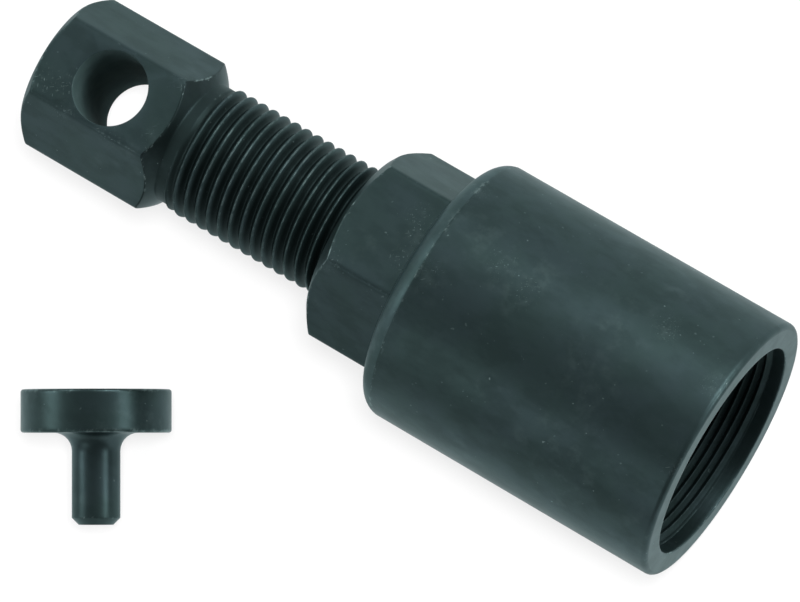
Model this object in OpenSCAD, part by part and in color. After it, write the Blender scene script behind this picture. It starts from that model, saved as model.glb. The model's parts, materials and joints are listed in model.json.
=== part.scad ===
// Screw-type hub puller with its loose thrust pad, in millimetres.
// The puller lies on its sleeve with the screw axis along X, the open mouth at +X.
// The thrust pad lies beside it on the rim of its disc. Z is up and the ground is at Z = 0.

/* [Sleeve] */
// Outside diameter of the turned sleeve
sleeve_d = 32; // [30:0.1:36]
// Length of the sleeve, from its back face to its mouth
sleeve_len = 37.9; // [34:0.1:46]
// Rounding of the back edge of the sleeve
sleeve_round = 1.6; // [0.5:0.1:2]
// Rounding of the outside of the mouth
mouth_round = 0.4; // [0.2:0.1:0.8]
// Outside diameter of the thread that grips the hub
hub_thread_d = 26; // [24:1:27]
// Length of the bore that this thread is cut in, with its plain lead-in
hub_bore_len = 11; // [8:0.5:13]
// Length of the run-out groove behind the thread
groove_len = 2; // [1:0.1:3]

/* [Wrench hex of the body] */
// Width across the flats of the body's hex
body_af = 22; // [20:0.5:24]
// Length of the body's hex
body_hex_len = 10.7; // [8:0.1:14]
// How far the body's hex is turned about the axis: the lean of its upper flat towards +Y
body_turn = 19.9; // [0:0.1:60]

/* [Forcing screw] */
// Outside diameter of the screw thread
screw_d = 16; // [14:1:16]
// Pitch of the screw thread: the screw advances by this in one turn
screw_pitch = 1.5; // [1:0.25:2]
// Length of the screw below its head
screw_len = 59.5; // [52:0.5:60]
// Gap between the screw's head and the body's hex, as the puller lies
feed_gap = 22.6; // [20:0.1:30]
// Length of the plain neck under the head
neck_len = 2.6; // [1:0.1:4]
// Diameter of the pressing nose
nose_d = 11.5; // [8:0.5:13]
// Length of the pressing nose
nose_len = 5; // [2:0.5:8]

/* [Head of the screw] */
// Width across the flats of the head
head_af = 17; // [16:0.5:19]
// Length of the head, with the slope that runs down to the neck
head_len = 18.05; // [15:0.05:22]
// Diameter of the cross hole for a tommy bar
bar_hole_d = 8.8; // [6:0.1:9]
// Distance of the cross hole from the outer end of the head
bar_hole_at = 9.05; // [7:0.05:9.5]
// How far the head is turned about the axis: the lean of its cross hole towards +Y
head_turn = 11.7; // [0:0.1:60]

/* [Thrust pad] */
// Diameter of the disc
disc_d = 17.4; // [14:0.1:20]
// Thickness of the disc
disc_t = 5; // [3:0.1:7]
// Diameter of the stem
stem_d = 5.6; // [4:0.1:8]
// Length of the stem
stem_len = 10.6; // [6:0.1:14]

/* [Hidden] */
$fn = 96;

// Running room between the screw and the way for it through the body
screw_room = 0.05;
way_bevel = 0.6;

// The sleeve and the whole puller
sleeve_r = sleeve_d / 2;
groove_depth = 0.4;
cavity_len = hub_bore_len + groove_len;
body_len = body_hex_len + sleeve_len;
puller_len = head_len + feed_gap + body_len;

// Hexes: the corners are turned back a little, and the ends are turned to a slope from a flat face
// that stops short of the flats by the face step
end_slope = 35;
body_face_step = 0.55;
head_face_step = 0.25;
body_corner_r = 1.1455 * body_af / 2;
head_corner_r = 1.1412 * head_af / 2;
hex_sunk = 0.5;

// The screw below its head: plain shank at the thread's outside diameter
neck_r = 7.5;
neck_slope = 37.5;
shank_r = screw_d / 2 - screw_room;
thread_depth = 0.6134 * screw_pitch;
crest_width = screw_pitch / 8;
nose_bevel = 0.8;

// Edges of the thrust pad
disc_round = 0.35;
stem_fillet = 1.3;
stem_bevel = 0.8;

// Where things lie: x_head is the outer end of the head, and puller_y centres the pair on Y
x_head = -puller_len / 2;
x_body = x_head + head_len + feed_gap;
pad_x = x_head + 20.65;
pad_off = 33.4;
pad_turn = 60.5;
pad_reach = (disc_t / 2 + stem_len) * sin(pad_turn) + (stem_d / 2 - stem_bevel) * cos(pad_turn);
puller_y = (pad_off + pad_reach - sleeve_r) / 2;

// Lays a piece that was drawn upright along the puller's axis, its base at x
module along_axis(x) {
    translate([x, puller_y, sleeve_r]) rotate([0, 90, 0]) children();
}

// A hex bar turned to an outline: a list of [radius, height] points from the base upwards
module turned_hex(af, len, outline) {
    intersection() {
        linear_extrude(len) rotate(30) circle(r = af / sqrt(3), $fn = 6);
        rotate_extrude() polygon(concat([[0, 0]], outline, [[0, len]]));
    }
}

// The sloped end of a hex as two outline points: the flat face's rim, and where the slope meets a corner
function sloped_end(af, corner_r, face_step) = let (face_r = af / 2 - face_step)
    [[face_r, 0], [corner_r, (corner_r - face_r) * tan(end_slope)]];

// What rounding by size takes off an outside corner at [r, h]; up is 1 where the metal lies above it
module corner_cut(r, h, up, size) {
    difference() {
        translate([r - size, up > 0 ? h - 0.1 : h - size]) square([size + 1, size + 0.1]);
        translate([r - size, h + up * size]) circle(r = size);
    }
}

// The sleeve as one closed turning, from its back face at 0 to its mouth at sleeve_len
module sleeve_turning() {
    rotate_extrude() difference() {
        square([sleeve_r, sleeve_len]);
        corner_cut(sleeve_r, 0, 1, sleeve_round);
        corner_cut(sleeve_r, sleeve_len, -1, mouth_round);
    }
}

// The hollow in the mouth: the bore of the hub thread and its run-out groove, open past the mouth
module mouth_hollow() {
    translate([0, 0, sleeve_len - cavity_len])
        cylinder(h = groove_len, r = hub_thread_d / 2 + groove_depth);
    translate([0, 0, sleeve_len - hub_bore_len - 0.1])
        cylinder(h = hub_bore_len + 1, d = hub_thread_d);
}

// The way for the forcing screw through hex and floor, with a bevelled entry at the hex end
module screw_way() {
    way_r = screw_d / 2;
    translate([0, 0, -1]) cylinder(h = body_len - cavity_len + 2, r = way_r);
    translate([0, 0, -0.01]) cylinder(h = way_bevel, r1 = way_r + way_bevel, r2 = way_r);
}

module puller_body() {
    hex_len = body_hex_len + hex_sunk;
    hex_outline = concat(sloped_end(body_af, body_corner_r, body_face_step), [[body_corner_r, hex_len]]);
    color([0.20, 0.26, 0.27]) along_axis(x_body) difference() {
        union() {
            rotate(-body_turn) turned_hex(body_af, hex_len, hex_outline);
            translate([0, 0, body_hex_len]) sleeve_turning();
        }
        translate([0, 0, body_hex_len]) mouth_hollow();
        screw_way();
    }
}

// The thread's crests as plain rings, a pitch apart, with a V groove after each, from height h on
function thread_rings(h, count) = [
    for (i = [0:count - 1], corner = [
        [shank_r, 0],
        [shank_r, crest_width],
        [shank_r - thread_depth, (screw_pitch + crest_width) / 2],
    ]) corner + [0, h + i * screw_pitch]
];

// The screw below its head, from the foot of the head's slope at 0 to the tip of the nose
module screw_shank() {
    thread_start = neck_len + shank_r - neck_r;
    thread_end = screw_len - nose_len;
    turns = floor((thread_end - thread_depth - thread_start) / screw_pitch);
    nose_r = nose_d / 2;
    rotate_extrude($fn = 48) polygon(concat(
        [[0, -1], [neck_r, -1], [neck_r, neck_len]],
        thread_rings(thread_start, turns),
        [
            [shank_r, thread_start + turns * screw_pitch],
            [shank_r, thread_end - thread_depth],
            [shank_r - thread_depth, thread_end],
            [nose_r, thread_end],
            [nose_r, screw_len - nose_bevel],
            [nose_r - nose_bevel, screw_len],
            [0, screw_len],
        ]
    ));
}

// The head: flats, sloped outer end, and a steeper slope at the inner end that runs down to the neck
module head_bar() {
    slope_len = (head_corner_r - neck_r) * tan(neck_slope);
    turned_hex(head_af, head_len, concat(
        sloped_end(head_af, head_corner_r, head_face_step),
        [[head_corner_r, head_len - slope_len], [neck_r, head_len]]
    ));
}

module forcing_screw() {
    color([0.22, 0.29, 0.30]) along_axis(x_head) rotate(-head_turn) difference() {
        union() {
            head_bar();
            translate([0, 0, head_len]) screw_shank();
        }
        translate([-head_af, 0, bar_hole_at]) rotate([0, 90, 0])
            cylinder(h = 2 * head_af, d = bar_hole_d);
    }
}

// Half outline of the pad, with the disc's outer face at 0 and the stem pointing up
module pad_outline() {
    stem_r = stem_d / 2;
    foot_r = stem_r + stem_fillet;
    difference() {
        square([disc_d / 2, disc_t]);
        corner_cut(disc_d / 2, 0, 1, disc_round);
        corner_cut(disc_d / 2, disc_t, -1, disc_round);
    }
    translate([0, disc_t - 1]) polygon([
        [0, 0],
        [stem_r, 0],
        [stem_r, stem_len + 1 - stem_bevel],
        [stem_r - stem_bevel, stem_len + 1],
        [0, stem_len + 1],
    ]);
    difference() {
        translate([0, disc_t - 0.1]) square([foot_r, stem_fillet + 0.1]);
        translate([foot_r, disc_t + stem_fillet]) circle(r = stem_fillet);
    }
}

module thrust_pad() {
    color([0.24, 0.31, 0.31])
    translate([pad_x, puller_y - pad_off, disc_d / 2])
    rotate([0, 0, -pad_turn])
    rotate([0, 90, 0])
    translate([0, 0, -disc_t / 2])
    rotate_extrude() pad_outline();
}

puller_body();
forcing_screw();
thrust_pad();
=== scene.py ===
# %% [markdown]
# # A hub puller and its thrust pad
#
# Three pieces of blackened steel lie on a pale floor: the puller's body, the forcing screw that runs
# through it, and a loose thrust pad. The real ones are turned from bar on a lathe, so nearly every
# surface here is a profile carried round an axis. This lesson loads the CAD model as a fixed frame, works
# out each surface with numpy, sews the surfaces into closed meshes, and then mixes the steel finishes
# from procedural nodes.

# %% Load the frame
import json

import bmesh
import bpy
import numpy as np
from mathutils import Matrix, Vector


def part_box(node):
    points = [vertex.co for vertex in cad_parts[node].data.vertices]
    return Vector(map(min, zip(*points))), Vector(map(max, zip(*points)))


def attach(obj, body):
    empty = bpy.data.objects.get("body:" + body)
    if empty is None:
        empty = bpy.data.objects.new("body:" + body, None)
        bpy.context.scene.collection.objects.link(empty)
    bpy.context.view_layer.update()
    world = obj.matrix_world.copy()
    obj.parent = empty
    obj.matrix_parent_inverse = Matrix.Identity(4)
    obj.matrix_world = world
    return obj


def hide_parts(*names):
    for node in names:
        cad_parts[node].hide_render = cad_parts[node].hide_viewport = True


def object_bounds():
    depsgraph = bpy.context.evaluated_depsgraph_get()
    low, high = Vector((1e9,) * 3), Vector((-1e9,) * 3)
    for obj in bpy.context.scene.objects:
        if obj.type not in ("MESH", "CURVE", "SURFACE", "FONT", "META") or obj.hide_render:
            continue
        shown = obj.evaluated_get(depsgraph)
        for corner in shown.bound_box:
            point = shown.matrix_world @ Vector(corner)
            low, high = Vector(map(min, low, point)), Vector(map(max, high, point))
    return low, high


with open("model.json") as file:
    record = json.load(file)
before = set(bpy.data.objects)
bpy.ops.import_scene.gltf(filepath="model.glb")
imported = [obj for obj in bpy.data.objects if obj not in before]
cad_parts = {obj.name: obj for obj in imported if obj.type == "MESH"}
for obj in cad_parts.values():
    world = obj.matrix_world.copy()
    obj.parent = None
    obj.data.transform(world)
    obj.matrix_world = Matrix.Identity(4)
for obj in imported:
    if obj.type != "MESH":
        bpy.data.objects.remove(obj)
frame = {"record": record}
bpy.context.view_layer.update()
cad_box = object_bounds()
print("CAD box in metres:", [round(v, 5) for corner in cad_box for v in corner])

# %% [markdown]
# ## Places
#
# Every place comes from the CAD model: a node's box says where a piece starts and ends, and the record's
# mounts say where its bores and axes are. The shapes below are worked out in millimetres, the unit a
# turner would use, and turned into Blender's metres only when a mesh is made.

# %% Read the places, in millimetres
MM = 0.001
mounts = {mount["name"]: mount for mount in frame["record"]["mounts"]}


def in_mm(place):
    """A point in metres as an array in millimetres."""
    return np.array(place, float) / MM


body_low, body_high = (in_mm(corner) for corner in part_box("puller_body"))
screw_low, screw_high = (in_mm(corner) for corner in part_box("forcing_screw"))
hub_bore = mounts["hub_thread"]
bar_hole = mounts["tommy_bar_hole"]
puller_axis = in_mm(hub_bore["pos_m"]) * [0, 1, 1]
print("the puller's axis lies at y", puller_axis[1].round(2), "and z", puller_axis[2].round(2))

# %% [markdown]
# ## The camera
#
# The camera comes early, because it decides how much detail a surface needs. It looks down steeply from a
# good distance, through a long lens, so the puller keeps almost parallel edges. Its place is written as a
# turn and a height about the point it aims at, and a roll that lays the puller across the picture.

# %% Set the camera
camera_data = bpy.data.cameras.new("camera")
camera_data.sensor_width = 36.0
camera_data.lens = 292.5
camera = bpy.data.objects.new("camera", camera_data)
bpy.context.scene.collection.objects.link(camera)
bpy.context.scene.camera = camera

camera_turn, camera_height, camera_roll = np.radians([24.816, 73.094, 85.553])
camera_distance = 0.73085
aim = (cad_box[0] + cad_box[1]) / 2 + Vector((3.774, 11.232, 0)) * MM
level = np.cos(camera_height)
back = Vector((level * np.cos(camera_turn), level * np.sin(camera_turn), np.sin(camera_height)))
upright = (Vector((0, 0, 1)) - back * back.z).normalized()
picture_up = upright * np.cos(camera_roll) + upright.cross(back) * np.sin(camera_roll)
turned_view = Matrix((picture_up.cross(back), picture_up, back)).transposed().to_4x4()
camera.matrix_world = Matrix.Translation(aim + back * camera_distance) @ turned_view
print("camera at", [round(v, 3) for v in camera.matrix_world.translation])

# %% [markdown]
# ## Turned surfaces
#
# A lathe leaves a surface that is one outline carried round an axis. On a grid of rows and columns, a row
# is a place on the outline and a column is an angle. Where a row may lie at another place and radius in
# each column, the same grid also gives a hex with sloped ends, which a Spin or Screw modifier couldn't
# do.

# %% Carry an outline round an axis
TURN = 2 * np.pi


def frame_of(origin, along, side):
    """An axis to turn about: its origin, its direction, and the directions across it at 0 and 90 degrees."""
    along = np.array(along, float) / np.linalg.norm(along)
    side = np.array(side, float) / np.linalg.norm(side)
    return np.array(origin, float), along, side, np.cross(along, side)


def carried_round(outline, angles, axis):
    """Points of a turned surface. For each row (x, r) of the outline and each column's angle, the point is
    origin + along * x + (side * cos(angle) + up * sin(angle)) * r."""
    origin, along, side, up = axis
    outline = np.broadcast_to(outline, (len(outline), len(angles), 2))
    across = np.cos(angles)[:, None] * side + np.sin(angles)[:, None] * up
    return origin + outline[..., :1] * along + outline[..., 1:] * across


def ring_faces(rows, columns, climb=0):
    """Quads between neighbouring rows. The last column meets the first one `climb` rows further on, which
    is 0 for a turned surface, and one pitch of rows for a thread."""
    index = np.arange(rows * columns).reshape(rows, columns)
    here = index[: rows - climb]
    beside = np.hstack([here[:, 1:], index[climb:, :1]])
    return np.stack([here[:-1], beside[:-1], beside[1:], here[1:]], axis=-1).reshape(-1, 4)


# %% [markdown]
# A turner breaks every sharp edge, and light catches that small round first. So each corner of an outline
# is given a size, and becomes an arc. The same function notes how worn each row is: most at the middle of
# an edge that stands out, and nothing a short way down either side.

# %% Round the corners of an outline
def rounded(corners, columns, steps=4, shoulder=0.3, share=0.45):
    """Rows of an outline with rounded corners, and how worn each row is.

    corners is a list of (x, r, size, wear), each a number or one value for every column. Where the edges
    turn by an angle t, the arc of radius size starts size * tan(t / 2) before the corner. Its points are
    centre + (sin((1 - s) t) a + sin(s t) b) / sin(t), where a and b run from the centre to the arc's ends.
    One row more on each side, a shoulder's length further on, keeps wear and shading close to the edge.
    An arc with its shoulder takes up no more than this share of either edge."""
    ends = np.array([[np.broadcast_to(v, columns) for v in corner[:2]] for corner in corners])
    ends = ends.transpose(0, 2, 1)
    rows, wear = [ends[0]], [corners[0][3]]
    for before, corner, after, (_, _, size, worn) in zip(ends, ends[1:], ends[2:], corners[1:-1]):
        if size == 0:
            rows.append(corner)
            wear.append(worn)
            continue
        run_in, run_out = corner - before, after - corner
        length_in = np.linalg.norm(run_in, axis=1, keepdims=True)
        length_out = np.linalg.norm(run_out, axis=1, keepdims=True)
        run_in, run_out = run_in / length_in, run_out / length_out
        turn = np.arccos(np.clip((run_in * run_out).sum(1, keepdims=True), -1, 1))
        room = share * np.minimum(length_in, length_out)
        cut = np.minimum(size * np.tan(turn / 2), room)
        radius = cut / np.tan(turn / 2)
        inward = (run_out - run_in) / (2 * np.sin(turn / 2))
        centre = corner + inward * np.hypot(cut, radius)
        start, end = corner - run_in * cut - centre, corner + run_out * cut - centre
        rest = np.minimum(shoulder, room - cut)
        rows.append(centre + start - run_in * rest)
        wear.append(0.0)
        for s in np.linspace(0, 1, steps + 1):
            rows.append(centre + (np.sin((1 - s) * turn) * start + np.sin(s * turn) * end) / np.sin(turn))
            wear.append(worn * (0.5 + 0.5 * np.sin(s * np.pi)))
        rows.append(centre + end + run_out * rest)
        wear.append(0.0)
    rows.append(ends[-1])
    wear.append(corners[-1][3])
    return np.array(rows), np.array(wear)[:, None] * np.ones(columns)


# %% [markdown]
# ## Sewing
#
# A piece is made of several sheets: turned surfaces, threads and the wall of a hole. They share the
# points where they meet, so merging the doubles sews them into one closed skin, and it also closes each
# pole, where a whole row has shrunk to one point. The faces are then turned outwards, and the count of
# open edges shows that it held.

# %% Sew sheets into one closed mesh
def sewn(name, sheets):
    """A mesh from sheets of (points in millimetres, faces, wear). Points that coincide become one."""
    starts = np.cumsum([0] + [len(points) for points, _, _ in sheets])
    points = np.concatenate([points for points, _, _ in sheets]) * MM
    faces = np.concatenate([faces + start for (_, faces, _), start in zip(sheets, starts)])
    mesh = bpy.data.meshes.new(name)
    mesh.from_pydata(points, [], faces.tolist())
    worn = mesh.attributes.new("wear", "FLOAT", "POINT")
    worn.data.foreach_set("value", np.concatenate([wear for _, _, wear in sheets]))
    skin = bmesh.new()
    skin.from_mesh(mesh)
    bmesh.ops.remove_doubles(skin, verts=skin.verts, dist=1e-7)
    bmesh.ops.recalc_face_normals(skin, faces=skin.faces)
    volume = skin.calc_volume() / MM**3
    skin.to_mesh(mesh)
    skin.free()
    mesh.shade_smooth()
    sides = np.empty(len(mesh.loops), int)
    mesh.loops.foreach_get("edge_index", sides)
    unpaired = int((np.bincount(sides, minlength=len(mesh.edges)) != 2).sum())
    print(f"{name}: {len(mesh.polygons)} faces, {volume:.0f} cubic mm, {unpaired} edges without two faces")
    return mesh


def sheet(outline, angles, axis, wear, climb=0):
    """One sheet for sewing: points, faces and wear of an outline carried round an axis."""
    points = carried_round(outline, angles, axis)
    return points.reshape(-1, 3), ring_faces(*points.shape[:2], climb), wear.reshape(-1)


# %% [markdown]
# ## Hex outlines
#
# Seen along the axis, a wrench hex is six flats whose corners are turned back a little. Its outline is
# the flat's distance over the cosine of the angle off its middle, or the turned radius where that is
# less. The columns crowd towards the corners, where the outline changes fastest, and spread out over the
# flats.

# %% Columns and outline of a hex
def hex_columns(first_flat, per_side=15, crowding=1.6):
    """Angles in radians for the columns of a piece with a hex: from each corner, 30 degrees times
    (k / per_side) ** crowding to both sides, so that the columns crowd at the corners."""
    off_corner = 30 * (np.arange(per_side + 1) / per_side) ** crowding
    one_side = np.concatenate([off_corner[:-1], 60 - off_corner[:0:-1]])
    corners = first_flat + 30 + 60 * np.arange(6)
    return np.radians((corners[:, None] + one_side).ravel())


def off_flat(angles, first_flat):
    """Each column's angle off the middle of its flat, in radians, from -30 to 30 degrees."""
    sixth = TURN / 6
    return (angles - np.radians(first_flat) + sixth / 2) % sixth - sixth / 2


def hex_radius(off_middle, flat_r, corner_r, soft=0.05):
    """Radius of the hex's outline: the lesser of flat_r / cos(angle) and the turned corner, with the change
    between them softened: -soft * log(exp(-a / soft) + exp(-b / soft))."""
    return -soft * np.logaddexp(-flat_r / np.cos(off_middle) / soft, -corner_r / soft)


def corner_wear(off_middle, width=0.9):
    """How worn each column is: 1 on a corner, fading over `width` degrees."""
    return np.exp(-(((30 - np.abs(np.degrees(off_middle))) / width) ** 2))


# The hexes are 22 and 17 mm across their flats. Each has a flat at the given angle in degrees.
body_flat_r, head_flat_r = 11.0, 8.5
BODY_CORNER_R, HEAD_CORNER_R = 12.6, 9.7
body_flat_at, head_flat_at = 10.1, 18.3
body_angles, head_angles = hex_columns(body_flat_at), hex_columns(head_flat_at)
body_off, head_off = off_flat(body_angles, body_flat_at), off_flat(head_angles, head_flat_at)
# The sloped ends run at 35 degrees from a flat face that stops short of the flats by a step.
END_SLOPE = np.tan(np.radians(35))
BODY_END_STEP, HEAD_END_STEP = 0.55, 0.25
# The body's hex was milled a little off the sleeve's axis, towards +Y.
BODY_HEX_OFF_AXIS = 0.27
body_hex_r = hex_radius(body_off, body_flat_r, BODY_CORNER_R) + BODY_HEX_OFF_AXIS * np.cos(body_angles)
head_hex_r = hex_radius(head_off, head_flat_r, HEAD_CORNER_R)
print("columns:", len(body_angles), " corner radii:", body_hex_r.max().round(2), head_hex_r.max().round(2))

# %% [markdown]
# ## Threads
#
# A thread is an outline that climbs by one pitch in each turn. On a plain grid its crests would cross the
# rows at a slant and look torn. So the grid is sheared: each row follows the helix, and the last column
# meets the first one a whole pitch of rows further on. Where the thread starts and ends, its points are
# held back to a plain ring, so that it can be sewn to the turned surface beside it.

# %% Helical sheets
# One pitch of a metric thread as (place on the pitch, height between root 0 and crest 1).
THREAD_FORM = np.array(
    [
        (-0.11, 0.83), (-0.058, 0.97), (0.0, 1.0), (0.058, 0.97), (0.11, 0.83),
        (0.237, 0.5), (0.417, 0.03), (0.5, 0.0), (0.583, 0.03), (0.763, 0.5),
    ]
)


CREST_WEAR, CREST_TOP = 0.9, 0.95


def thread(start, end, pitch, root_r, crest_r, crest_at, angles, axis, limits):
    """A sheet for a right-hand thread between the places start and end, with a crest at crest_at in angle 0.

    A point of row m and column angle a lies at crest_at + pitch * (form place + a / turn), and its radius
    is root_r + (crest_r - root_r) * height. limits gives, for places x, the lowest and the highest radius
    there. The top of the crest, above CREST_TOP of the height, is the part that wears."""
    per_pitch = len(THREAD_FORM)
    first_turn = int(np.floor((start - crest_at) / pitch)) - 2
    turns = int(np.ceil((end - start) / pitch)) + 5
    count = np.arange(turns * per_pitch)
    place, height = THREAD_FORM[count % per_pitch].T
    place = place + first_turn + count // per_pitch
    x = crest_at + pitch * (place[:, None] + angles / TURN)
    x = np.clip(x, start, end)
    r = np.clip(root_r + (crest_r - root_r) * height[:, None], *limits(x))
    wear = CREST_WEAR * (height[:, None] > CREST_TOP) * np.ones_like(x)
    return sheet(np.stack([x, r], axis=-1), angles, axis, wear, climb=per_pitch)


SCREW_PITCH, SCREW_ROOT_R, SCREW_CREST_R = 1.5, 7.03, 7.95
SCREW_CREST_AT = screw_low[0] + 21.78
RUNNING_ROOM = 0.05
# A row this close to a thread's end keeps the slant of its first turn out of the plain wall's shading.
THREAD_SHOULDER = 0.1
print("screw thread M16 x", SCREW_PITCH, "and", round(SCREW_CREST_R - SCREW_ROOT_R, 2), "mm deep")

# %% [markdown]
# ## The body
#
# The body is one bar: a hex for a wrench, then the sleeve, bored and threaded at its mouth to grip a hub,
# with a run-out groove at the bottom of the bore and a threaded way for the screw. Going once round its
# outline, from the way's back end over the outside and back through the bore, gives one closed ring of
# sheets.

# %% Measures of the body
sleeve_r = (body_high[2] - body_low[2]) / 2
mouth_at = body_high[0]
BODY_HEX_LEN = 10.2
hex_back, hex_front = body_low[0], body_low[0] + BODY_HEX_LEN
way_r = SCREW_CREST_R + RUNNING_ROOM
WAY_BEVEL, WAY_PLAIN = 0.6, 1.5
way_start = hex_back + WAY_BEVEL + WAY_PLAIN
BACK_ROUND_R, BACK_TURN_DEGREES = 2.5, 80
back_turn = np.radians(np.linspace(0, BACK_TURN_DEGREES, 14))
back_foot_r = sleeve_r - BACK_ROUND_R * np.sin(back_turn[-1])
face_r = body_flat_r - BODY_END_STEP
slope_at = hex_back + (body_hex_r - face_r) * END_SLOPE
body_columns = len(body_angles)
puller_frame = frame_of(puller_axis, (1, 0, 0), (0, 1, 0))
print("hex from x", hex_back.round(2), "to", hex_front.round(2), " sleeve's radius", sleeve_r.round(2))

# %% The body's outside
hex_rows, hex_wear = rounded(
    [
        (way_start, way_r, 0, 0),
        (way_start - THREAD_SHOULDER, way_r, 0, 0),
        (hex_back + WAY_BEVEL, way_r, 0, 0),
        (hex_back, way_r + WAY_BEVEL, 0.1, 0.5),
        (hex_back, face_r, 0.2, 0.5),
        (slope_at, body_hex_r, 0.25, 0.7),
        (hex_front, body_hex_r, 0.25, 0),
        (hex_front, back_foot_r, 0, 0),
    ],
    body_columns,
)
# The corners are rubbed all along the flats, but not in the angle against the sleeve.
on_flats = (hex_rows[..., 0] >= slope_at) & (hex_rows[..., 0] < hex_front - 0.3)
hex_wear = np.maximum(hex_wear, on_flats * 0.3 * corner_wear(body_off))

# The back edge of the sleeve is an arc that stops short of the full quarter, so it meets the skin in a
# slight edge. Its last two steps are rubbed.
back_edge_x = hex_front + BACK_ROUND_R * (1 - np.cos(back_turn))
back_edge_r = back_foot_r + BACK_ROUND_R * np.sin(back_turn)
back_edge_r[-1] = sleeve_r
back_edge = np.stack([back_edge_x, back_edge_r], axis=-1)
back_edge_wear = 0.5 * np.clip((back_turn - back_turn[-3]) / (back_turn[-1] - back_turn[-3]), 0, 1)
back_edge_wear = back_edge_wear[:, None] * np.ones(body_columns)

LEAD_IN = 1.6
hub_r = hub_bore["dims"]["r_mm"]
hub_thread_end = mouth_at - hub_bore["dims"]["length_mm"]
skin_rows, skin_wear = rounded(
    [
        (*back_edge[-1], 0, 0.5),
        (back_edge[-1, 0] + 0.25, sleeve_r, 0, 0.25),
        (back_edge[-1, 0] + 0.6, sleeve_r, 0, 0),
        (mouth_at - LEAD_IN, sleeve_r, 0, 0),
        (mouth_at, sleeve_r, 0.6, 0.22),
        (mouth_at, hub_r, 0.15, 0.6),
        (mouth_at - LEAD_IN + THREAD_SHOULDER, hub_r, 0, 0),
        (mouth_at - LEAD_IN, hub_r, 0, 0),
    ],
    body_columns,
)
print("sleeve from x", back_edge[0, 0].round(2), "to", mouth_at.round(2), "radius", sleeve_r.round(2))

# %% [markdown]
# Inside the mouth come a plain lead-in, the fine hub thread, the groove that its cutter runs out into,
# and the floor with the screw's own thread. That thread stops short of the way's back end, which is
# plain, so that the screw's neck can go in. The inside threads carry the same outline as the outside
# ones: only which side holds the metal changes, and the sewing sees to that.

# %% The body's inside
HUB_PITCH, HUB_CREST_DEPTH = 1.0, 0.54
GROOVE_DEPTH, GROOVE_LEN = 0.4, 2.0
floor_at = hub_thread_end - GROOVE_LEN


def hub_limits(x):
    """The hub thread is bevelled at both ends: its crests may stand in by the distance to the nearer end."""
    return hub_r - np.minimum(x - hub_thread_end, mouth_at - LEAD_IN - x), hub_r


def way_limits(x):
    """The screw's way is bevelled in the same manner, between its plain first part and the floor."""
    return way_r - np.minimum(x - way_start, floor_at - WAY_BEVEL - x), way_r


hub_thread = thread(
    hub_thread_end, mouth_at - LEAD_IN, HUB_PITCH, hub_r, hub_r - HUB_CREST_DEPTH, mouth_at,
    body_angles, puller_frame, hub_limits,
)
way_thread = thread(
    way_start, floor_at - WAY_BEVEL, SCREW_PITCH, SCREW_ROOT_R + RUNNING_ROOM, way_r, SCREW_CREST_AT,
    body_angles, puller_frame, way_limits,
)
floor_rows, floor_wear = rounded(
    [
        (hub_thread_end, hub_r, 0, 0),
        (hub_thread_end, hub_r + GROOVE_DEPTH, 0.1, 0),
        (floor_at, hub_r + GROOVE_DEPTH, 0.3, 0),
        (floor_at, way_r + WAY_BEVEL, 0.1, 0.4),
        (floor_at - WAY_BEVEL, way_r, 0, 0),
    ],
    body_columns,
)
body_mesh = sewn(
    "puller_body_steel",
    [
        sheet(hex_rows, body_angles, puller_frame, hex_wear),
        sheet(back_edge[:, None], body_angles, puller_frame, back_edge_wear),
        sheet(skin_rows, body_angles, puller_frame, skin_wear),
        hub_thread,
        sheet(floor_rows, body_angles, puller_frame, floor_wear),
        way_thread,
    ],
)

# %% [markdown]
# ## The forcing screw
#
# The screw is a hex bar: its head keeps the flats, and everything below it is turned down to a short
# neck, a long thread and a pressing nose. The head's outer end is sloped like the body's, and its inner
# end slopes more steeply, right down to the neck.

# %% Measures of the screw
head_end, nose_tip = screw_low[0], screw_high[0]
HEAD_LEN, NECK_LEN, NOSE_LEN = 18.05, 1.3, 5.0
head_foot = head_end + HEAD_LEN
NECK_R, NECK_SLOPE = 7.5, np.tan(np.radians(37.5))
thread_start = head_foot + NECK_LEN
NOSE_R, NOSE_BEVEL = 5.75, 0.8
thread_stop = nose_tip - NOSE_LEN
hole_at = in_mm(bar_hole["pos_m"])[0]
hole_r = bar_hole["dims"]["r_mm"]
# How far the window for the cross hole reaches from its middle, along the head.
hole_reach = 5.2
head_face_r = head_flat_r - HEAD_END_STEP
head_slope_at = head_end + (head_hex_r - head_face_r) * END_SLOPE
foot_slope_at = head_foot - (head_hex_r - NECK_R) * NECK_SLOPE
screw_columns = len(head_angles)
print("head to x", head_foot.round(2), " thread from", thread_start.round(2), "to", thread_stop.round(2))

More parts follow.
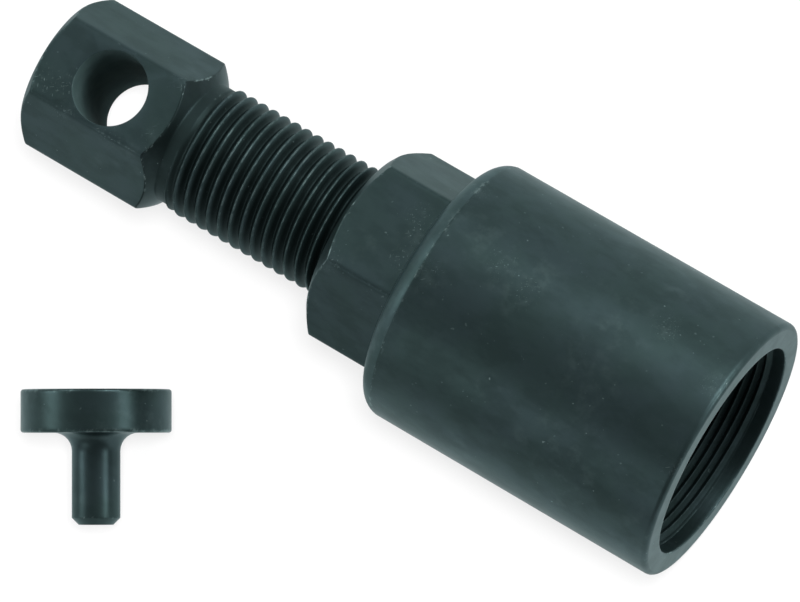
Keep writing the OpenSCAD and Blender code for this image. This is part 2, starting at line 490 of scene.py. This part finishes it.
# %% The screw's outside
cap_rows, cap_wear = rounded(
    [
        (head_end, 0, 0, 0),
        (head_end, head_face_r, 0.2, 0.5),
        (head_slope_at, head_hex_r, 0.25, 0.8),
        (hole_at - hole_reach, head_hex_r, 0, 0),
    ],
    screw_columns,
)
foot_rows, foot_wear = rounded(
    [
        (hole_at + hole_reach, head_hex_r, 0, 0),
        (foot_slope_at, head_hex_r, 0.25, 0.6),
        (head_foot, NECK_R, 0.3, 0),
        (thread_start - THREAD_SHOULDER, NECK_R, 0, 0),
        (thread_start, NECK_R, 0, 0),
    ],
    screw_columns,
)
head_corner_wear = 0.3 * corner_wear(head_off)
cap_wear = np.maximum(cap_wear, (cap_rows[..., 0] >= head_slope_at) * head_corner_wear)
foot_wear = np.maximum(foot_wear, (foot_rows[..., 0] <= foot_slope_at) * head_corner_wear)
nose_rows, nose_wear = rounded(
    [
        (thread_stop, SCREW_ROOT_R, 0, 0),
        (thread_stop, NOSE_R, 0.2, 0),
        (nose_tip - NOSE_BEVEL, NOSE_R, 0.15, 0.6),
        (nose_tip, NOSE_R - NOSE_BEVEL, 0.15, 0.6),
        (nose_tip, 0, 0, 0),
    ],
    screw_columns,
)


def screw_limits(x):
    """The thread grows out of the neck over one pitch, and is bevelled down to its root at the nose."""
    grown = np.clip((x - thread_start) / SCREW_PITCH, 0, 1)
    lowest = NECK_R + (SCREW_ROOT_R - NECK_R) * grown
    highest = np.minimum(NECK_R + (x - thread_start), SCREW_ROOT_R + (thread_stop - x))
    return lowest, np.maximum(lowest, highest)


screw_thread = thread(
    thread_start, thread_stop, SCREW_PITCH, SCREW_ROOT_R, SCREW_CREST_R, SCREW_CREST_AT,
    head_angles, puller_frame, screw_limits,
)

# %% [markdown]
# The cross hole takes a tommy bar, and its rim almost touches both edges of the flat it goes through. A
# Boolean would leave long thin triangles there. Instead a window is left open in the grid on the front
# flat and on the back one, and a single tube joins them: from the front window's border to a circle, over
# the rounded rim, along the wall, and out to the back window in the same way.

# %% The head's flats, with the window left open
flat_places = np.linspace(hole_at - hole_reach, hole_at + hole_reach, 19)
flat_rows = np.stack(np.broadcast_arrays(flat_places[:, None], head_hex_r), axis=-1)
flat_points = carried_round(flat_rows, head_angles, puller_frame)
flat_faces = ring_faces(*flat_points.shape[:2])

hole_axis = np.array(bar_hole["axis"], float)
hole_axis = hole_axis * np.sign(hole_axis[2])
across = np.cross(hole_axis, (1, 0, 0))
# This many columns stay whole along each edge of the flat.
window_edge = 2
per_flat = screw_columns // 6
front = int(np.argmin(np.abs(head_angles - np.arctan2(hole_axis[2], hole_axis[1]) % TURN)))
half_window = per_flat // 2 - window_edge
columns_off_front = (np.arange(screw_columns) - front + per_flat // 2) % (screw_columns // 2) - per_flat // 2
face_columns = np.tile(columns_off_front, len(flat_places) - 1)
outside_window = (face_columns < -half_window) | (face_columns >= half_window)
flat_wear = np.ones((len(flat_places), 1)) * head_corner_wear

# The window's border on the front flat, once round: along both edges of the flat and across it at both ends.
left, right = front - half_window, front + half_window
border = np.concatenate(
    [
        flat_points[0, left:right],
        flat_points[:-1, right],
        flat_points[-1, right:left:-1],
        flat_points[:0:-1, left],
    ]
)
print("window of", len(border), "points,", round(2 * hole_reach, 2), "mm long")

# %% [markdown]
# The hole's rim was left nearly sharp, with a round far smaller than the other edges have. The window's
# border isn't round, so the tube's first row is that border, its last row is the same border on the back
# flat, and every row between is a circle with its points in the border points' directions.

# %% The tube of the cross hole
RIM_ROUND, RIM_WEAR = 0.06, 0.35
centre = puller_axis + np.array([hole_at, 0, 0])
seen_from_hole = border - centre
around = np.arctan2(seen_from_hole @ across, seen_from_hole[:, 0])
spokes = np.cos(around)[:, None] * [1, 0, 0] + np.sin(around)[:, None] * across
rim = np.linspace(0, np.pi / 2, 6)
rim_r = hole_r + RIM_ROUND * (1 - np.sin(rim))
rim_height = head_flat_r - RIM_ROUND * (1 - np.cos(rim))
rim_rows = np.stack([rim_r, rim_height], axis=-1)
# The wall's rows lie at these heights above and below the screw's axis.
wall_rows = np.array([(hole_r, height) for height in (8.0, 6.0, 3.0, 0.0, -3.0, -6.0, -8.0)])
tube_rows = np.concatenate([rim_rows, wall_rows, rim_rows[::-1] * [1, -1]])
tube = centre + tube_rows[:, None, :1] * spokes + tube_rows[:, None, 1:] * hole_axis
mirrored = border - 2 * (seen_from_hole @ hole_axis)[:, None] * hole_axis
tube = np.concatenate([border[None], tube, mirrored[None]])
tube_wear = np.zeros(tube.shape[:2])
tube_wear[2:6] = RIM_WEAR
tube_wear[-6:-2] = RIM_WEAR

screw_mesh = sewn(
    "forcing_screw_steel",
    [
        sheet(cap_rows, head_angles, puller_frame, cap_wear),
        (flat_points.reshape(-1, 3), flat_faces[outside_window], flat_wear.ravel()),
        (tube.reshape(-1, 3), ring_faces(*tube.shape[:2]), tube_wear.ravel()),
        sheet(foot_rows, head_angles, puller_frame, foot_wear),
        screw_thread,
        sheet(nose_rows, head_angles, puller_frame, nose_wear),
    ],
)

# %% [markdown]
# ## The thrust pad
#
# The pad is a small turned mushroom: its disc takes the screw's push, and its stem drops into the end of
# a hollow axle. It lies on the rim of its disc, stem level. The record's mounts give the disc's face and
# its direction.

# %% The pad
pad_face = mounts["pad_face"]
pad_frame = frame_of(in_mm(pad_face["pos_m"]), mounts["pad_stem"]["axis"], (0, 0, 1))
disc_r = in_mm(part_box("thrust_pad")[1])[2] / 2
disc_t = np.dot(in_mm(mounts["pad_shoulder"]["pos_m"]) - pad_frame[0], pad_frame[1])
stem_r = mounts["pad_stem"]["dims"]["r_mm"]
STEM_LEN, STEM_BEVEL, STEM_FILLET, DISC_ROUND = 10.6, 0.8, 2.1, 0.35
stem_end = disc_t + STEM_LEN
PAD_COLUMNS = 160
pad_angles = TURN * np.arange(PAD_COLUMNS) / PAD_COLUMNS
pad_rows, pad_wear = rounded(
    [
        (0, 0, 0, 0),
        (0, disc_r, DISC_ROUND, 1.0),
        (disc_t, disc_r, DISC_ROUND, 0.9),
        (disc_t, stem_r, STEM_FILLET, 0),
        (stem_end - STEM_BEVEL, stem_r, 0.12, 0.9),
        (stem_end, stem_r - STEM_BEVEL, 0.12, 0.6),
        (stem_end, 0, 0, 0),
    ],
    len(pad_angles),
    steps=7,
)
print("pad's disc", (2 * disc_r).round(2), "mm across and", disc_t.round(2), "mm thick")
pad_mesh = sewn("thrust_pad_steel", [sheet(pad_rows, pad_angles, pad_frame, pad_wear)])

# %% [markdown]
# ## Blackened steel
#
# Black oxide is a thin conversion layer: dark, faintly blue-green and satin, and it keeps its tint at a
# low angle. So the shader is a dark metal of middling roughness whose grazing edges are tinted too. What
# makes it look real is what varies: the cloudy tint of the bath, smudges and a few fine scratches where a
# hand or a wrench has been, pale pricks, and brighter steel in spots along the edges that rub. All of it
# is mixed from noise on Object coordinates, which stay put on the piece because every mesh already lies
# in its place.

# %% Small helpers for node trees
def node(tree, kind, inputs=None, **settings):
    """Adds a node. inputs gives its sockets by name or number: a plain value is set, and another node's
    socket is linked."""
    made = tree.nodes.new(kind)
    for name, value in settings.items():
        setattr(made, name, value)
    for socket, value in (inputs or {}).items():
        if isinstance(value, bpy.types.NodeSocket):
            tree.links.new(value, made.inputs[socket])
        else:
            made.inputs[socket].default_value = value
    return made


def maths(tree, operation, *values, clamp=False):
    """The result of one Math node."""
    inputs = dict(enumerate(values))
    return node(tree, "ShaderNodeMath", inputs, operation=operation, use_clamp=clamp).outputs[0]


def times(tree, first, second):
    """The product of two values."""
    return maths(tree, "MULTIPLY", first, second)


def vector_maths(tree, operation, *values):
    """A Vector Math node."""
    return node(tree, "ShaderNodeVectorMath", dict(enumerate(values)), operation=operation)


def between(tree, value, low, high):
    """value as 0 at low and 1 at high, smoothly."""
    ramp = node(tree, "ShaderNodeMapRange", {0: value, 1: low, 2: high}, interpolation_type="SMOOTHSTEP")
    return ramp.outputs[0]


def mixed(tree, amount, first, second):
    """The colour between two others. Sockets 0, 6 and 7 of a Mix node are its factor and two colours."""
    inputs = {0: amount, 6: first, 7: second}
    return node(tree, "ShaderNodeMix", inputs, data_type="RGBA").outputs[2]


# %% Noise, and places that a hand or a tool has touched
def noise(tree, places, lump, detail=3.0, roughness=0.55, turned=(0, 0, 0)):
    """Noise with lumps about `lump` millimetres across: one size, or one for each axis of its grid."""
    sizes = (np.broadcast_to(lump, 3) * MM).tolist()
    inputs = {"Vector": places, "Rotation": np.radians(turned).tolist(), "Scale": sizes}
    grid = node(tree, "ShaderNodeMapping", inputs, vector_type="TEXTURE").outputs[0]
    inputs = {"Vector": grid, "Scale": 1.0, "Detail": detail, "Roughness": roughness}
    return node(tree, "ShaderNodeTexNoise", inputs).outputs[0]


def near(tree, places, marks, reach, core=0.3):
    """1 within core * reach millimetres of any of the marks, falling smoothly to 0 at reach: the greatest
    closeness to any one mark."""
    closeness = 0.0
    for mark in marks:
        gap = vector_maths(tree, "DISTANCE", places, (np.array(mark) * MM).tolist()).outputs["Value"]
        closeness = maths(tree, "MAXIMUM", closeness, between(tree, gap, reach * MM, core * reach * MM))
    return closeness


# %% [markdown]
# ### The finish itself
#
# One function makes every steel finish, because the pieces came out of the same bath. They differ in how
# light they are, how rough the cutter left them and how much they were handled. Each step mixes one more
# layer over the colour so far, in this order: bath, darker thread grooves, smudges, scratches, bare edges.

# %% The steel finish
GRAZING_TINT = (0.75, 0.88, 0.89, 1)
GREENISH_BATH, BLUISH_BATH = (0.031, 0.054, 0.054), (0.034, 0.056, 0.060)
THICK_OXIDE, GROOVE_DARKEST = (0.021, 0.037, 0.037), (0.012, 0.021, 0.021)
SMUDGE = (0.078, 0.116, 0.118)
PRICKED_STEEL, RUBBED_STEEL = (0.15, 0.21, 0.21, 1), (0.14, 0.20, 0.20, 1)
MARK_REACH = 2.4
# The most that each layer covers of what lies under it.
LUMPS_COVER, PRICKS_COVER, SCRATCHES_COVER, RUB_COVER = 0.5, 0.7, 0.75, 0.85


def blackened_steel(name, base=1.0, roughness=0.42, smudges=0.25, marks=(), lathe=0.3, rub=1.0, grooves=None):
    """A black-oxide finish. base scales its lightness, which on the sleeve's back edge is a painted highlight
    and on the head's inner slope is painted shade; smudges and rub say how strong the handling and the edge
    wear are, and marks are places in millimetres with scratches on them. In a thread, grooves gives the radii
    where its groove is darkest and where that ends."""
    material = bpy.data.materials.new(name)
    material.use_nodes = True
    tree = material.node_tree
    tree.nodes.clear()
    places = node(tree, "ShaderNodeTexCoord").outputs["Object"]

    def tone(colour):
        return (*(channel * base for channel in colour), 1)

    # The bath's tint: bluish and greenish clouds, and soft darker lumps a little longer along the axis.
    clouds = between(tree, noise(tree, places, 7, detail=4), 0.35, 0.65)
    colour = mixed(tree, clouds, tone(GREENISH_BATH), tone(BLUISH_BATH))
    lumps = noise(tree, places, (4.5, 2.6, 2.6), detail=3, roughness=0.6)
    thick = times(tree, between(tree, lumps, 0.40, 0.66), LUMPS_COVER)
    colour = mixed(tree, thick, colour, tone(THICK_OXIDE))

    # A thread is darker towards the root of its grooves.
    if grooves:
        from_axis = vector_maths(tree, "SUBTRACT", places, (puller_axis * MM).tolist()).outputs[0]
        from_axis = vector_maths(tree, "MULTIPLY", from_axis, (0, 1, 1)).outputs[0]
        r = vector_maths(tree, "LENGTH", from_axis).outputs["Value"]
        out_of_groove = between(tree, r, *(MM * limit for limit in grooves))
        colour = mixed(tree, out_of_groove, tone(GROOVE_DARKEST), colour)

    # Handled places: a few patches, and the marks. They are smudged, pricked through and scratched.
    patches = between(tree, noise(tree, places, 9, detail=2), 0.50, 0.64)
    touched = near(tree, places, marks, MARK_REACH)
    handled = maths(tree, "MAXIMUM", patches, touched)
    smears = between(tree, noise(tree, places, 1.8, detail=3, roughness=0.6), 0.45, 0.75)
    colour = mixed(tree, times(tree, smears, times(tree, handled, smudges)), colour, tone(SMUDGE))
    pricks = between(tree, noise(tree, places, 0.6, detail=1), 0.75, 0.80)
    pricks = times(tree, pricks, maths(tree, "ADD", handled, 0.4, clamp=True))
    colour = mixed(tree, times(tree, pricks, PRICKS_COVER), colour, PRICKED_STEEL)
    one_way = noise(tree, places, (4, 0.14, 0.14), detail=2, turned=(0, 0, 38))
    other_way = noise(tree, places, (3, 0.12, 0.12), detail=2, turned=(0, 0, -62))
    scratches = between(tree, maths(tree, "MAXIMUM", one_way, other_way), 0.66, 0.74)
    scratches = times(tree, times(tree, scratches, touched), SCRATCHES_COVER)
    colour = mixed(tree, scratches, colour, PRICKED_STEEL)

    # Rubbed edges: bare steel in spots, where the piece's own wear attribute and a ragged noise meet.
    worn = node(tree, "ShaderNodeAttribute", attribute_name="wear").outputs["Fac"]
    ragged = noise(tree, places, (0.5, 1.0, 1.0), detail=5, roughness=0.7)
    ragged = maths(tree, "ADD", ragged, times(tree, handled, 0.08))
    rubbed = between(tree, maths(tree, "ADD", ragged, times(tree, worn, 0.12)), 0.60, 0.76)
    rubbed = times(tree, rubbed, times(tree, between(tree, worn, 0.05, 0.6), RUB_COVER * rub))
    colour = mixed(tree, rubbed, colour, RUBBED_STEEL)

    # Fine grain and lathe marks stand in the surface as bump.
    grain = noise(tree, places, 0.25, detail=3)
    rings = noise(tree, places, (0.22, 11, 11), detail=2)
    height = maths(tree, "ADD", times(tree, grain, 0.5), times(tree, rings, lathe))
    bump = node(tree, "ShaderNodeBump", {"Height": height, "Strength": 0.12, "Distance": 0.08 * MM})

    # Thick oxide is a little rougher, and rubbed steel a little smoother.
    gloss = maths(tree, "ADD", roughness - 0.06, times(tree, lumps, 0.12))
    gloss = maths(tree, "SUBTRACT", gloss, times(tree, rubbed, 0.08))
    inputs = {"Base Color": colour, "Metallic": 0.9, "Roughness": gloss, "Normal": bump.outputs[0]}
    surface = node(tree, "ShaderNodeBsdfPrincipled", {**inputs, "Specular Tint": GRAZING_TINT})
    node(tree, "ShaderNodeOutputMaterial", {"Surface": surface.outputs[0]})
    return material


# %% [markdown]
# Turned faces are a little finer than milled ones, the sleeve's back edge and the mouth's ring are the
# lightest, and the threads and the bore were never polished. The back edge is lighter as a painted highlight,
# standing in for the broad light that its band reflects, and the head's inner slope is darker as painted
# shade. The marks lie where a spanner, a hand or the bench would leave them.

# %% Places on the puller's skin
def on_puller(*marks):
    """Places on the puller's skin. Each is given as (x, angle in degrees, r) and lies at the axis's place
    plus (x, r * cos(angle), r * sin(angle))."""
    x, angle, r = np.array(marks, float).T
    angle = np.radians(angle)
    return np.stack([x, r * np.cos(angle), r * np.sin(angle)], axis=-1) + puller_axis


# %% Finishes of the three pieces
head_marks = on_puller(
    (head_end + 3.8, 95, 8.9), (head_end + 1.9, 98, 9.0), (head_end + 5.3, 111, 9.9),
    (head_end + 11.5, 107, 9.7), (head_end + 17, 95, 8.9), (head_end + 16.6, 49, 9.7),
)
hex_marks = on_puller(
    (hex_front - 2.4, 54, 11.3), (hex_front - 1.2, 62, 11.1),
    (hex_front - 1.2, 79, 11.1), (hex_back + 1.4, 100, 12.6),
)
sleeve_marks = on_puller(
    (hex_front + 1.7, 37, sleeve_r), (hex_front + 3.6, 81, sleeve_r), (hex_front + 9.8, 62, sleeve_r),
    (hex_front + 13.6, 68, sleeve_r), (mouth_at - 9.5, 50, sleeve_r), (mouth_at - 0.9, 62, sleeve_r),
    (mouth_at - 0.9, 96, sleeve_r),
)
head_finish = blackened_steel("head_black_oxide", base=0.95, roughness=0.45, marks=head_marks, lathe=0.1)
hex_finish = blackened_steel("hex_black_oxide", base=0.95, roughness=0.45, marks=hex_marks, lathe=0.1)
sleeve_finish = blackened_steel("sleeve_black_oxide", marks=sleeve_marks, lathe=0.5)
ring_finish = blackened_steel("mouth_ring_black_oxide", base=1.2, roughness=0.4, lathe=0.6, rub=0.4)
bore_finish = blackened_steel("bore_black_oxide", base=0.8, roughness=0.7, smudges=0.1, rub=0.2)
screw_grooves = (SCREW_CREST_R - 0.6, SCREW_CREST_R - 0.1)
thread_finish = blackened_steel(
    "thread_black_oxide", base=1.05, roughness=0.52, smudges=0.1, rub=0.35, grooves=screw_grooves
)
# The head's inner slope: turned like the rest, and darker as painted shade where the head shades it.
head_slope_painted_shade = blackened_steel("cone_oxide_painted_shade", base=0.48, roughness=0.4, smudges=0.1, lathe=0.5)
# The sleeve's back edge: real wear and scratches on a tone lightened as a painted highlight, for the broad
# light its band reflects.
back_edge_painted_highlight = blackened_steel("turned_edge_oxide_painted_highlight", base=1.5, roughness=0.5, marks=sleeve_marks, rub=0.8)
pad_finish = blackened_steel("pad_black_oxide", base=1.05, roughness=0.38, smudges=0.3, rub=0.6)
print("marks on the head, the hex and the sleeve:", len(head_marks), len(hex_marks), len(sleeve_marks))

# %% [markdown]
# A drilled hole is the roughest place on the screw. Light that goes in hardly comes out, so its wall has a
# dark and matt finish of its own, without a metal's shine: painted shade, standing in for the shade in the
# hole.

# %% The drilled wall, in painted shade
drilled_wall_painted_shade = bpy.data.materials.new("drilled_wall_oxide_painted_shade")
drilled_wall_painted_shade.use_nodes = True
tree = drilled_wall_painted_shade.node_tree
tree.nodes.clear()
places = node(tree, "ShaderNodeTexCoord").outputs["Object"]
crumbs = between(tree, noise(tree, places, 2.5, detail=2), 0.3, 0.7)
colour = mixed(tree, crumbs, (0.060, 0.100, 0.100, 1), (0.072, 0.118, 0.118, 1))
bump = node(tree, "ShaderNodeBump", {"Height": crumbs, "Strength": 0.2, "Distance": 0.1 * MM}).outputs[0]
inputs = {"Base Color": colour, "Roughness": 0.8, "Specular IOR Level": 0.02, "Normal": bump}
surface = node(tree, "ShaderNodeBsdfPrincipled", inputs)
node(tree, "ShaderNodeOutputMaterial", {"Surface": surface.outputs[0]})
print("finishes:", [material.name for material in bpy.data.materials if "oxide" in material.name])

# %% [markdown]
# ## Placing the pieces
#
# One mesh can wear several finishes, a face at a time. Which finish a face gets follows from where its middle
# lies: how far along the axis, and how far out from it. Each piece rides on its body's empty, and stands in
# for the CAD node that it dresses.

# %% Place the pieces
def piece(mesh, materials, body, node_name, finish_of):
    """An object for a sewn mesh. finish_of gives each face's finish from the places of the faces' middles."""
    made = bpy.data.objects.new(mesh.name, mesh)
    bpy.context.scene.collection.objects.link(made)
    for material in materials:
        mesh.materials.append(material)
    middles = np.empty(len(mesh.polygons) * 3)
    mesh.polygons.foreach_get("center", middles)
    finishes = finish_of(in_mm(middles.reshape(-1, 3)))
    mesh.polygons.foreach_set("material_index", finishes.astype(np.int32))
    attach(made, body)
    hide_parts(node_name)
    print(made.name, "has", np.bincount(finishes), "faces in each finish")


# How far past a border a face's middle may lie and still count: a hair, or a broader margin.
HAIR, MARGIN = 0.01, 0.1


def body_finish_of(middles):
    """Sleeve 0, hex 1, mouth ring 2, inside 3, the sleeve's turned back edge 4, whose lighter finish is a
    painted highlight.
    """
    x, r = middles[:, 0], np.hypot(*(middles - puller_axis).T[1:])
    hollow = (x > floor_at - MARGIN) & (r < hub_r + GROOVE_DEPTH + MARGIN) & (x < mouth_at - LEAD_IN)
    inside = hollow | (r < way_r + HAIR)
    # The ring of faces in the very plane of hex_front belongs to the back edge.
    hex_bar = x < hex_front - HAIR / 10
    places = [inside, x > mouth_at - 2 * HAIR, hex_bar, x < back_edge[-1, 0]]
    return np.select(places, [3, 2, 1, 4], 0)


def screw_finish_of(middles):
    """Head 0, thread and neck 1, nose 2, wall of the cross hole 3, the head's inner slope 4. Finishes 3 and 4
    are dark as painted shade.
    """
    x, r = middles[:, 0], np.hypot(*(middles - puller_axis).T[1:])
    off_hole = (middles - centre) @ np.stack([(1, 0, 0), across], axis=-1)
    in_head = x < head_foot
    wall = in_head & (np.hypot(*off_hole.T) < hole_r + HAIR)
    cone = in_head & (x > head_foot - (r - NECK_R) * NECK_SLOPE - MARGIN)
    return np.select([wall, cone, x > thread_stop - HAIR, ~in_head], [3, 4, 2, 1], 0)


def pad_finish_of(middles):
    """One finish all over."""
    return np.zeros(len(middles), int)


piece(
    body_mesh, [sleeve_finish, hex_finish, ring_finish, bore_finish, back_edge_painted_highlight],
    "body", "puller_body", body_finish_of,
)
piece(
    screw_mesh, [head_finish, thread_finish, sleeve_finish, drilled_wall_painted_shade, head_slope_painted_shade],
    "screw", "forcing_screw", screw_finish_of,
)
piece(pad_mesh, [pad_finish], "pad", "thrust_pad", pad_finish_of)

# %% [markdown]
# ## The floor
#
# The floor is plain and white. A Light Path node tells its material who is looking. The camera and the
# steel's reflections see paper that gives off most of its white by itself and takes the rest from the
# light that falls on it, so the object still leaves a soft shadow. Every other ray meets a plain grey
# paper, which throws only a little light back up.

# %% The floor
FLOOR_SIZE = 3.0
floor_mesh = bpy.data.meshes.new("floor")
corners = np.array([(-1, -1, 0), (1, -1, 0), (1, 1, 0), (-1, 1, 0)]) * FLOOR_SIZE / 2
floor_mesh.from_pydata(corners, [], [(0, 1, 2, 3)])
floor = bpy.data.objects.new("floor", floor_mesh)
bpy.context.scene.collection.objects.link(floor)

GIVEN_OFF, SHADED_PAPER, GREY_PAPER = 0.74, 0.12, 0.3


def grey(value):
    """A neutral colour."""
    return (value, value, value, 1)


paper = bpy.data.materials.new("white_floor")
paper.use_nodes = True
tree = paper.node_tree
tree.nodes.clear()
rays = node(tree, "ShaderNodeLightPath").outputs
seen = maths(tree, "MAXIMUM", rays["Is Camera Ray"], rays["Is Glossy Ray"])
seen = maths(tree, "MAXIMUM", seen, rays["Is Transmission Ray"])
given_off = node(tree, "ShaderNodeEmission", {"Color": grey(1), "Strength": GIVEN_OFF}).outputs[0]
shaded = node(tree, "ShaderNodeBsdfDiffuse", {"Color": grey(SHADED_PAPER)}).outputs[0]
white_paper = node(tree, "ShaderNodeAddShader", {0: given_off, 1: shaded}).outputs[0]
grey_paper = node(tree, "ShaderNodeBsdfDiffuse", {"Color": grey(GREY_PAPER)}).outputs[0]
surface = node(tree, "ShaderNodeMixShader", {0: seen, 1: grey_paper, 2: white_paper})
node(tree, "ShaderNodeOutputMaterial", {"Surface": surface.outputs[0]})
floor_mesh.materials.append(paper)
print("floor", FLOOR_SIZE, "m wide, giving off", GIVEN_OFF, "of plain white")

# %% [markdown]
# ## The light
#
# Dark metal shows little light of its own: what models it is the pattern of bright and dark places that
# it reflects. So the room is bright round the horizon and dim overhead, and five soft panels stand round
# the object with gaps between them. They could be one big dome, but a dome would leave the steel flat.

# %% The room
HORIZON, ROOM = 1.1, 0.28
world = bpy.data.worlds.new("studio")
bpy.context.scene.world = world
world.use_nodes = True
tree = world.node_tree
tree.nodes.clear()
direction = node(tree, "ShaderNodeTexCoord").outputs["Generated"]
upwards = node(tree, "ShaderNodeSeparateXYZ", {0: direction}).outputs[2]
above_horizon = between(tree, upwards, 0.05, 0.2)
room = maths(tree, "ADD", HORIZON, times(tree, above_horizon, ROOM - HORIZON))
air = node(tree, "ShaderNodeBackground", {"Color": grey(1), "Strength": room})
node(tree, "ShaderNodeOutputWorld", {"Surface": air.outputs[0]})
print("room", HORIZON, "at the horizon and", ROOM, "overhead")

# %% The panels
PANEL_DISTANCE = 1.0


def panel(name, turn, height, size, brightness):
    """A square lamp a metre away, at a turn about Z and a height in degrees, facing the object. One that
    gives off `brightness` times plain white takes pi * area * brightness watts."""
    turn, height = np.radians([turn, height])
    level = np.cos(height)
    direction = Vector((level * np.cos(turn), level * np.sin(turn), np.sin(height)))
    lamp = bpy.data.lights.new(name, "AREA")
    lamp.shape = "SQUARE"
    lamp.size = size
    lamp.energy = np.pi * size**2 * brightness
    made = bpy.data.objects.new(name, lamp)
    bpy.context.scene.collection.objects.link(made)
    facing = direction.to_track_quat("Z", "Y").to_matrix().to_4x4()
    made.matrix_world = Matrix.Translation(direction * PANEL_DISTANCE) @ facing
    return made


panel("panel_mouth", 34.8, 22.4, 0.35, 8.2)
panel("panel_far_side", 76.3, 36.9, 0.5, 7.3)
panel("panel_head", 154.3, 42.2, 0.5, 2.9)
panel("panel_pad", 199.3, 36.5, 0.35, 5.3)
panel("panel_near_side", 252.2, 41.2, 0.5, 1.4)
print("lamps:", [lamp.name for lamp in bpy.data.lights])

# %% [markdown]
# A small lamp leaves a narrow, distinct shadow, but on the steel it would be one more hard highlight. So
# light linking gives this lamp to the floor alone. It stands high, close to the camera's direction, and
# the pieces cut its light off from the paper beside them.

# %% The floor's own lamp
paper_alone = bpy.data.collections.new("lit_by_paper_lamp")
paper_alone.objects.link(floor)
paper_lamp = panel("paper_lamp", 37, 71.6, 0.18, 200)
paper_lamp.light_linking.receiver_collection = paper_alone
bpy.context.scene.view_settings.view_transform = "Standard"
